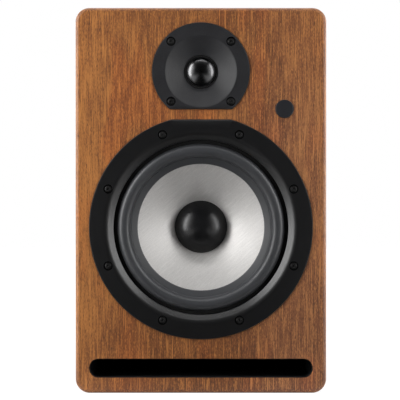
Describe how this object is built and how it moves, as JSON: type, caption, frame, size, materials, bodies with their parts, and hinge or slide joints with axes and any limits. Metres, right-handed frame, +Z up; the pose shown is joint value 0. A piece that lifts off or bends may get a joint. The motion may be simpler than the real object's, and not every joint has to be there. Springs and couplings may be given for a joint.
{
  "type": "bookshelf speaker",
  "caption": "Bookshelf loudspeaker: veneered wooden box with rounded corners and a front slot port, silver cone woofer, dome tweeter in a shallow waveguide, rear terminal cup.",
  "frame": {"origin": "middle of the base on the surface the speaker stands on", "axes": "+Z up, +Y from the front baffle towards the rear panel, +X to the right as seen from the front"},
  "size_m": [0.25, 0.3012, 0.384],
  "materials": {
    "walnut_veneer": "satin oiled walnut veneer",
    "bare_board": "raw fibreboard",
    "rear_paint": "fibreboard, matt black paint",
    "wadding": "loose polyester felt",
    "cast_frame": "die-cast, matt black powder coat",
    "tweeter_plate": "fine-grained dark grey",
    "surround_rubber": "smooth matt",
    "cone_fibre": "silver-grey pressed fibre",
    "cap_black": "satin",
    "dome_metal": "dark anodised, glossy",
    "dome_roll": "matt",
    "spider_cloth": "resin-treated woven cloth",
    "former": "film",
    "copper": "enamelled copper wire",
    "motor_steel": "zinc plated",
    "ferrite": "raw ferrite",
    "gasket_foam": "closed-cell foam",
    "black_screw": "black zinc steel",
    "badge_black": "gloss black",
    "cup_plastic": "fine-grained moulded black",
    "gold_contact": "gold flashed brass",
    "nut_red": "moulded red",
    "nut_black": "moulded black",
    "laminate": "green circuit laminate",
    "capacitor_film": "yellow film capacitor wrap",
    "lead_jacket": "soft jacket"
  },
  "bodies": {
    "cabinet": {"front_baffle": "walnut_veneer", "side_panel_left": "walnut_veneer", "side_panel_right": "walnut_veneer", "top_panel": "walnut_veneer", "bottom_panel": "walnut_veneer", "rear_panel": "rear_paint", "port_shelf": "bare_board", "cabinet_brace": "bare_board", "damping_lining": "wadding", "front_badge": "badge_black", "woofer_basket": "cast_frame", "woofer_gasket": "gasket_foam", "woofer_surround": "surround_rubber", "woofer_spider": "spider_cloth", "woofer_top_plate": "motor_steel", "woofer_magnet": "ferrite", "woofer_yoke": "motor_steel", "woofer_terminal_strip": "former", "tweeter_faceplate": "tweeter_plate", "tweeter_surround": "dome_roll", "tweeter_top_plate": "motor_steel", "tweeter_magnet": "ferrite", "tweeter_yoke": "motor_steel", "tweeter_rear_chamber": "cup_plastic", "terminal_cup": "cup_plastic", "post_stud_red": "gold_contact", "post_stud_black": "gold_contact", "crossover_board": "laminate", "crossover_coil_large": "copper", "crossover_coil_small": "copper", "crossover_capacitor": "capacitor_film", "lead_input": "lead_jacket", "lead_woofer": "lead_jacket", "lead_tweeter": "lead_jacket", "woofer_screw_1": "black_screw", "woofer_screw_2": "black_screw", "woofer_screw_3": "black_screw", "woofer_screw_4": "black_screw", "woofer_screw_5": "black_screw", "woofer_screw_6": "black_screw", "woofer_screw_7": "black_screw", "woofer_screw_8": "black_screw", "tweeter_screw_1": "black_screw", "tweeter_screw_2": "black_screw", "tweeter_screw_3": "black_screw", "tweeter_screw_4": "black_screw", "terminal_screw_1": "black_screw", "terminal_screw_2": "black_screw", "terminal_screw_3": "black_screw", "terminal_screw_4": "black_screw"},
    "woofer_moving": {"woofer_cone": "cone_fibre", "woofer_dust_cap": "cap_black", "voice_coil_former": "former", "voice_coil_winding": "copper"},
    "tweeter_moving": {"tweeter_dome": "dome_metal", "tweeter_coil": "copper"},
    "washer_red": {"post_washer_red": "gold_contact"},
    "nut_red": {"post_nut_red": "nut_red"},
    "washer_black": {"post_washer_black": "gold_contact"},
    "nut_black": {"post_nut_black": "nut_black"}
  },
  "joints": [
    {"name": "woofer_travel", "type": "slide", "parent": "cabinet", "child": "woofer_moving", "axis": [0, -1, 0], "range_m": [-0.007, 0.007], "stiffness_N_per_m": 1200, "deforming": ["woofer_surround", "woofer_spider"]},
    {"name": "tweeter_travel", "type": "slide", "parent": "cabinet", "child": "tweeter_moving", "axis": [0, -1, 0], "range_m": [-0.0005, 0.0005], "stiffness_N_per_m": 2000, "deforming": ["tweeter_surround"]},
    {"name": "red_nut_travel", "type": "slide", "parent": "cabinet", "child": "washer_red", "axis": [0, 1, 0], "range_m": [0, 0.005]},
    {"name": "red_nut_turn", "type": "hinge", "parent": "washer_red", "child": "nut_red", "pos_m": [-0.0095, 0.1384, 0.14], "axis": [0, 1, 0], "range_deg": [0, 1800]},
    {"name": "black_nut_travel", "type": "slide", "parent": "cabinet", "child": "washer_black", "axis": [0, 1, 0], "range_m": [0, 0.005]},
    {"name": "black_nut_turn", "type": "hinge", "parent": "washer_black", "child": "nut_black", "pos_m": [0.0095, 0.1384, 0.14], "axis": [0, 1, 0], "range_deg": [0, 1800]}
  ],
  "couplings": [
    {"joint": "red_nut_turn", "follows": "red_nut_travel", "rad_per_m": 6283.2},
    {"joint": "black_nut_turn", "follows": "black_nut_travel", "rad_per_m": 6283.2}
  ]
}
